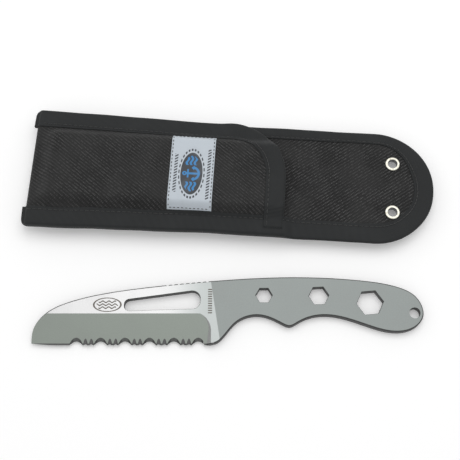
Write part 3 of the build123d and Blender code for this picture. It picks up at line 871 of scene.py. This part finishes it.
# %% Foam and lining
def front_layer(top, low):
    """A layer of the front between two depths under its outside."""
    def point(share, q):
        x = FOLD_RADIUS + 1 + share * (MOUTH - UNDER_TAPE - FOLD_RADIUS - 1)
        y = -half_width(x) + UNDER_TAPE + q * (half_width(x) + front_edge(x) - 2 * UNDER_TAPE)
        return x, y, front_face(x, y) - top, x, y

    form = grid(round(MOUTH / STEP), ACROSS, point)
    return thicken(form, lambda x, y: front_face(x, y) - low)


def back_layer(top, lower):
    """A layer of the back, from a depth under its inside down to a height."""
    def point(share, q):
        x = FOLD_RADIUS + share * (LENGTH - UNDER_TAPE - FOLD_RADIUS)
        y = (2 * q - 1) * (half_width(x) - UNDER_TAPE / 2)
        return x, y, back_face(x, y) - top, x, y

    return thicken(punch(grid(round(LENGTH / STEP), ACROSS, point)), lower)


foam_low = PANEL - LINING
front_foam = front_layer(CLOTH, foam_low)
front_pad = piece("front_pad", front_foam, foam_sponge, "foam", "front_foam")
front_knit = front_layer(foam_low, PANEL)
front_inner = piece("front_inner", front_knit, lining_knit, "lining_cloth", "front_lining")
back_foam = back_layer(LINING, lambda x, y: bottom_face(x, y) + CLOTH)
back_pad = piece("back_pad", back_foam, foam_sponge, "foam", "back_foam")
tab_face = back_layer(0.0, lambda x, y: back_face(x, y) - LINING)
back_inner = piece("back_inner", tab_face, tab_nylon, "ballistic_nylon", "back_lining")

# %% Welt in the closed seams
WELT_START = FOOT + 1.5     # its inner edge


def welt_point(side, end):
    """A strip along one closed seam."""
    def point(share, q):
        x = FOLD_RADIUS + 1 + share * (end - FOLD_RADIUS - 1)
        y = side * (WELT_START + q * (half_width(x) - UNDER_TAPE - WELT_START))
        return x, y, front_face(x, y) - PANEL, x, y
    return point


welt = bmesh.new()
for side, end in ((-1, MOUTH - TAPE_WIDTH), (1, CORNER_START)):
    strip = thicken(grid(60, 4, welt_point(side, end)), back_face)
    passing = bpy.data.meshes.new("passing")
    strip.to_mesh(passing)
    strip.free()
    welt.from_mesh(passing)
    bpy.data.meshes.remove(passing)
piece("seam_strip", welt, tape_ribbon, "binding_tape", "seam_welt")

# %% [markdown]
# ## Binding tape
# The raw edges are closed with ribbon folded over them and sewn through. Its section is a flat U with
# rounded lips and a shallow groove where the stitches pull it down. The same section is carried along
# each edge, and its two legs follow the faces above and below.

# %% Section and routes
LIP = 0.42              # height of the tape's rounded lip
OFF = 0.03              # how far its inside stays off the cloth
SEWN_LINE = TAPE_WIDTH - STITCH_INSET
# distance in from the edge, level from -1 below to 1 above, and lift off the cloth
SECTION = [(TAPE_WIDTH, 1, OFF), (TAPE_WIDTH, 1, LIP), (TAPE_WIDTH - 0.25, 1, TAPE),
           (SEWN_LINE + 0.8, 1, TAPE), (SEWN_LINE, 1, 0.40), (SEWN_LINE - 0.8, 1, TAPE),
           (6.5, 1, TAPE + 0.08), (3.5, 1, TAPE + 0.08), (1.2, 1, TAPE), (0.1, 0.90, TAPE),
           (-0.42, 0.52, TAPE), (-0.6, 0, TAPE), (-0.42, -0.52, TAPE), (0.1, -0.90, TAPE),
           (1.2, -1, TAPE), (5.0, -1, TAPE), (SEWN_LINE, -1, 0.45), (TAPE_WIDTH - 0.25, -1, TAPE),
           (TAPE_WIDTH, -1, LIP), (TAPE_WIDTH, -1, OFF), (6.0, -1, OFF), (0.8, -1, OFF),
           (0.35, 0, 0.0), (0.8, 1, OFF), (6.0, 1, OFF)]


def line(x0, y0, x1, y1):
    """A straight leg: its length, and its point and outward direction at a share."""
    run = math.hypot(x1 - x0, y1 - y0)
    return run, lambda t: (x0 + (x1 - x0) * t, y0 + (y1 - y0) * t, (y1 - y0) / run, (x0 - x1) / run)


def arc(x, y, radius, first, last):
    """A round leg that turns to the left."""
    def at(t):
        angle = math.radians(first + (last - first) * t)
        out_x, out_y = math.cos(angle), math.sin(angle)
        return x + radius * out_x, y + radius * out_y, out_x, out_y
    return radius * math.radians(last - first), at


def walk(legs, run):
    """Point and outward direction after some distance along several legs."""
    for length, at in legs:
        if run <= length or (length, at) == legs[-1]:
            return at(min(run / length, 1.0))
        run -= length


STUB = 1.6              # how far the tapes stand out past the fold
STUB_HALF = FOLD_HALF + 0.04
MOUTH_TAPE_END = TAB_HALF - 3.6
edge_legs = [line(-STUB, -STUB_HALF, TAPER, -TAB_HALF),
             line(TAPER, -TAB_HALF, TAB_CENTRE, -TAB_HALF),
             arc(TAB_CENTRE, 0, TAB_HALF, -90, 90),
             line(TAB_CENTRE, TAB_HALF, CORNER_START - 2, TAB_HALF)]
mouth_legs = [line(MOUTH, -MOUTH_TAPE_END, MOUTH, TAB_HALF - CORNER),
              arc(CORNER_START, TAB_HALF - CORNER, CORNER, 0, 90),
              line(CORNER_START, TAB_HALF, TAPER, TAB_HALF),
              line(TAPER, TAB_HALF, -STUB, STUB_HALF)]
edge_run = sum(length for length, at in edge_legs)
mouth_run = sum(length for length, at in mouth_legs)
print("tape along the edge", round(edge_run), "mm, along the mouth", round(mouth_run), "mm")

# %% Faces that the tapes lie on
def closed(top, low, x):
    """Two heights, drawn together near the fold."""
    middle = (top + low) / 2
    return middle + (top - middle) * closing(x), middle + (low - middle) * closing(x)


def edge_faces(x, y):
    """Upper and lower face under the edge tape."""
    past = ease((x - MOUTH) / 7) if y < 0 else 1.0
    top = front_face(min(x, MOUTH), y) * (1 - past) + back_face(x, y) * past
    return closed(top, bottom_face(x, y), x)


def mouth_faces(x, y):
    """The same under the mouth tape, which leaves the back where the corner comes free."""
    near_edge = ease((TAPE_WIDTH - TAB_HALF - y + 2) / 2)
    over_edge_tape = (TAPE + 0.05) * near_edge * ease((x - CORNER_START) / 9)
    top = front_face(x, y) + over_edge_tape
    free = ease((x - CORNER_START + 5) / 5) if y > -TAB_HALF / 2 else 1.0
    low = bottom_face(x, y) * (1 - free) + (front_face(x, y) - PANEL) * free
    return closed(top, low, x)


NARROW = (258.0, 288.0)     # where the edge tape loses width, along its route
NARROWED = 0.56             # share of its width that is left there
END_RADIUS = 3.2            # of the rounded ends
PLAIN_PITCH = 1.3           # from one section to the next


def full_width(run):
    """The mouth tape keeps its width."""
    return 1.0


def edge_width(run):
    """The binder has drifted round the tab, and left less of the ribbon on the face beyond it."""
    drifted = ease((run - NARROW[0]) / (NARROW[1] - NARROW[0]))
    return 1 - (1 - NARROWED) * drifted + swell(run, 0.0, 17.0, 0.05)


def stations(length, round_start, round_end):
    """Distances along a tape, closer together where its end is rounded."""
    turns = [END_RADIUS * (1 - math.cos(math.radians(angle))) for angle in range(0, 90, 15)]
    first = END_RADIUS if round_start else 0.0
    last = length - (END_RADIUS if round_end else 0.0)
    count = round((last - first) / PLAIN_PITCH)
    places = [first + (last - first) * number / count for number in range(count + 1)]
    if round_start:
        places = turns + places
    if round_end:
        places += [length - turn for turn in turns[::-1]]
    return places


def tape(legs, length, faces, width, round_start, round_end):
    """Carries the section along the legs, and closes it."""
    sides = len(SECTION)
    lengths = [0.0]
    for first, second in zip(SECTION, SECTION[1:] + SECTION[:1]):
        lengths.append(lengths[-1] + math.hypot(second[0] - first[0], (second[1] - first[1]) * 2))
    places = stations(length, round_start, round_end)

    def point(share, q):
        run = places[round(share * (len(places) - 1))]
        index = round(q * sides)
        inward, level, lift = SECTION[index % sides]
        if level > 0.95 and inward > 1:
            inward = 1 + (inward - 1) * width(run)
        to_end = END_RADIUS
        if round_start:
            to_end = min(to_end, run)
        if round_end:
            to_end = min(to_end, length - run)
        cut = END_RADIUS - math.sqrt(END_RADIUS ** 2 - (END_RADIUS - to_end) ** 2)
        inward = cut + inward * (1 - cut / TAPE_WIDTH) + swell(run, 3.0, 19.0, 0.3)
        x, y, out_x, out_y = walk(legs, run)
        x -= out_x * inward
        y -= out_y * inward
        top, low = faces(x, y)
        z = (top + low) / 2 + level * ((top - low) / 2 + lift)
        return x, y, z, run, lengths[index]

    form = grid(len(places) - 1, sides, point)
    bmesh.ops.remove_doubles(form, verts=form.verts[:], dist=1e-4)
    bmesh.ops.holes_fill(form, edges=[edge for edge in form.edges if edge.is_boundary])
    bmesh.ops.recalc_face_normals(form, faces=form.faces[:])
    return form


edge_form = tape(edge_legs, edge_run, edge_faces, edge_width, True, False)
edge_tape = piece("edge_tape", edge_form, tape_ribbon, "binding_tape", "edge_binding")
mouth_form = tape(mouth_legs, mouth_run, mouth_faces, full_width, False, True)
mouth_tape = piece("mouth_tape", mouth_form, tape_ribbon, "binding_tape", "mouth_binding")

# %% [markdown]
# ## Stitches
# A row of stitches is a row of short beads of thread, each pulled into the cloth at both ends. A round
# form, stretched along the seam, is enough for each.

# %% Stitch rows
STITCH = 2.9            # from one stitch to the next
THREAD = 0.26           # half the thread's thickness


def add_stitch(form, spot, direction, half_length=STITCH * 0.40):
    """One bead of thread."""
    lie = Matrix.Translation(spot) @ direction.to_track_quat("X", "Z").to_matrix().to_4x4()
    shape = Matrix.Diagonal((half_length, THREAD, THREAD * 0.85, 1))
    bmesh.ops.create_uvsphere(form, u_segments=8, v_segments=6, radius=1, matrix=lie @ shape)


def sew(form, legs, length, inset, height, start=0.0):
    """A row of stitches beside a route, from some distance along it."""
    count = int((length - start) / STITCH)
    for number in range(count):
        ends = []
        for side in (-0.3, 0.3):
            run = start + (number + 0.5 + side) * STITCH
            x, y, out_x, out_y = walk(legs, run)
            x -= out_x * inset(run)
            y -= out_y * inset(run)
            ends.append(Vector((x, y, height(x, y))))
        add_stitch(form, (ends[0] + ends[1]) / 2, ends[1] - ends[0])
    return count


def beside_tape(width):
    """The stitch line follows the tape's inner edge."""
    return lambda run: 1 + (SEWN_LINE - 1) * width(run)


edge_stitches = bmesh.new()
edge_count = sew(edge_stitches, edge_legs, edge_run - 8, beside_tape(edge_width),
                 lambda x, y: edge_faces(x, y)[0] + TAPE, 3.0)
piece("edge_seam", edge_stitches, thread_black, "thread", "edge_thread")
mouth_stitches = bmesh.new()
mouth_count = sew(mouth_stitches, mouth_legs, mouth_run - 3, beside_tape(full_width),
                  lambda x, y: mouth_faces(x, y)[0] + TAPE, 1.0)
piece("mouth_seam", mouth_stitches, thread_black, "thread", "mouth_thread")
print(edge_count, "and", mouth_count, "stitches")

# %% [markdown]
# ## The label
# The label is a small satin ribbon, folded under at its ends and sewn down just inside its edge. It
# follows the swell of the pocket, so it is laid on the same height function.

# %% Label
LABEL_LIFT = 0.42       # its height in the middle
LABEL_EDGE = 0.12       # and at its rounded edge
LABEL_STITCH = 2.2      # from one of its stitches to the next
LABEL_BEAD = 0.75
LABEL_INSET = 0.8       # from its stitches to its edge
MARK_DROP = 2.3         # the mark is woven a little off the middle
TUCK = 0.4              # how far its ends go in under the tapes
label_x = [(value - fold_end) / MM for value in reach("woven_label", along)]
label_y = [(value - sheath_origin.dot(across)) / MM for value in reach("woven_label", across)]
label_y = [label_y[0] - TUCK, label_y[1] + TUCK]
label_middle = (sum(label_x) / 2, sum(label_y) / 2)


def label_height(x, y):
    """Top of the label, rounded off at its edge."""
    inward = min(x - label_x[0], label_x[1] - x, y - label_y[0], label_y[1] - y)
    return front_face(x, y) + LABEL_EDGE + (LABEL_LIFT - LABEL_EDGE) * ease((inward + 0.15) / 0.5)


def label_point(share, q):
    """The mark is upright when the sheath's tab hangs down, so the cloth's lengths are turned."""
    x = label_x[0] + share * (label_x[1] - label_x[0])
    y = label_y[0] + q * (label_y[1] - label_y[0])
    return x, y, label_height(x, y), y - label_middle[1] + MARK_DROP, label_middle[0] - x


label_form = thicken(grid(60, 100, label_point), lambda x, y: front_face(x, y) + OFF)
label = piece("label", label_form, satin_label, "label_satin", "woven_label")
label_half = [(high - low) / 2 - LABEL_INSET for low, high in (label_x, label_y)]
label_stitches = bmesh.new()
for side, way in ((-1, 1), (-1, 0), (1, 1), (1, 0)):
    direction = Vector((1 - way, way, 0))
    for number in range(int(2 * label_half[way] / LABEL_STITCH)):
        spot = list(label_middle)
        spot[way] += (number + 0.5) * LABEL_STITCH - label_half[way]
        spot[1 - way] += side * label_half[1 - way]
        spot = Vector((*spot, label_height(*spot)))
        add_stitch(label_stitches, spot, direction, LABEL_BEAD)
label_seam = piece("label_seam", label_stitches, thread_black, "thread", "label_thread")

# %% [markdown]
# ## The belt loop
# A strap of webbing is sewn to the back at both ends and stands off it in between, which leaves room
# for a belt. Each end is held by a square of stitches with a cross in it.

# %% Belt loop
WEBBING = 1.5           # its thickness
SEWN = 10.0             # length that is sewn down at each end
RAMP = 7.0              # and of the slope beside it
LOOP_ROUND = 1.2        # width of its rounded edges
BOX_INSET = (1.2, 1.5)  # stitches to the webbing's end and to its edge
loop_x = [(value - fold_end) / MM for value in reach("belt_loop", along)]
loop_half = (reach("belt_loop", across)[1] - reach("belt_loop", across)[0]) / MM / 2


def rounded(y):
    """1 at the webbing's edge, 0 where its rounding starts."""
    return ease((abs(y) - loop_half + LOOP_ROUND) / LOOP_ROUND)


def loop_low(x, y):
    """Underside of the webbing: against the back at its ends, on the table between them."""
    out = min(x - loop_x[0], loop_x[1] - x)
    return (BACK_LOW - WEBBING) * (1 - ease((out - SEWN) / RAMP)) + 0.35 * rounded(y) + 0.02


def loop_point(share, q):
    """A point on the webbing's other side."""
    x = loop_x[0] + share * (loop_x[1] - loop_x[0])
    y = (2 * q - 1) * loop_half
    return x, y, loop_low(x, y) + WEBBING - 0.04 - 0.7 * rounded(y), x, y


loop_form = thicken(grid(120, 40, loop_point), loop_low)
belt_strap = piece("belt_strap", loop_form, belt_webbing, "webbing", "belt_loop")
loop_stitches = bmesh.new()
for end in (loop_x[0], loop_x[1] - SEWN):
    left = end + BOX_INSET[0]
    right = end + SEWN - BOX_INSET[0]
    high = loop_half - BOX_INSET[1]
    corners = [(left, -high), (right, -high), (right, high), (left, high)]
    for first, last in ((0, 1), (1, 2), (2, 3), (3, 0), (0, 2), (3, 1)):
        leg = line(*corners[first], *corners[last])
        sew(loop_stitches, [leg], leg[0], lambda run: 0.0, lambda x, y: BACK_LOW - WEBBING + 0.05)
loop_seam = piece("loop_seam", loop_stitches, thread_black, "thread", "belt_loop_thread")

# %% [markdown]
# ## What is soft
# The size that each flat cut of cloth was cut to, worked out in metres.

RAMP_SLACK = 3.0        # length of webbing that the ramps take up
wide_cut = 2 * FOLD_HALF * MM
strip_length * MM
MOUTH * MM
LENGTH * MM
edge_run * MM
mouth_run * MM
(label_x[1] - label_x[0]) * MM
(label_y[1] - label_y[0]) * MM
loop_cut = (loop_x[1] - loop_x[0] + RAMP_SLACK) * MM
2 * loop_half * MM

# %% [markdown]
# ## The size of the finished model
# The visible pieces are meant to fill the same box as the plain ones, so how far they reach past it is
# printed.

# %% Print how far past the plain box the pieces reach
low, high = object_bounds()
past = [round(gap / MM, 2) for gap in (*(cad_low - low), *(high - cad_high))]
print("past the plain box in mm", past)
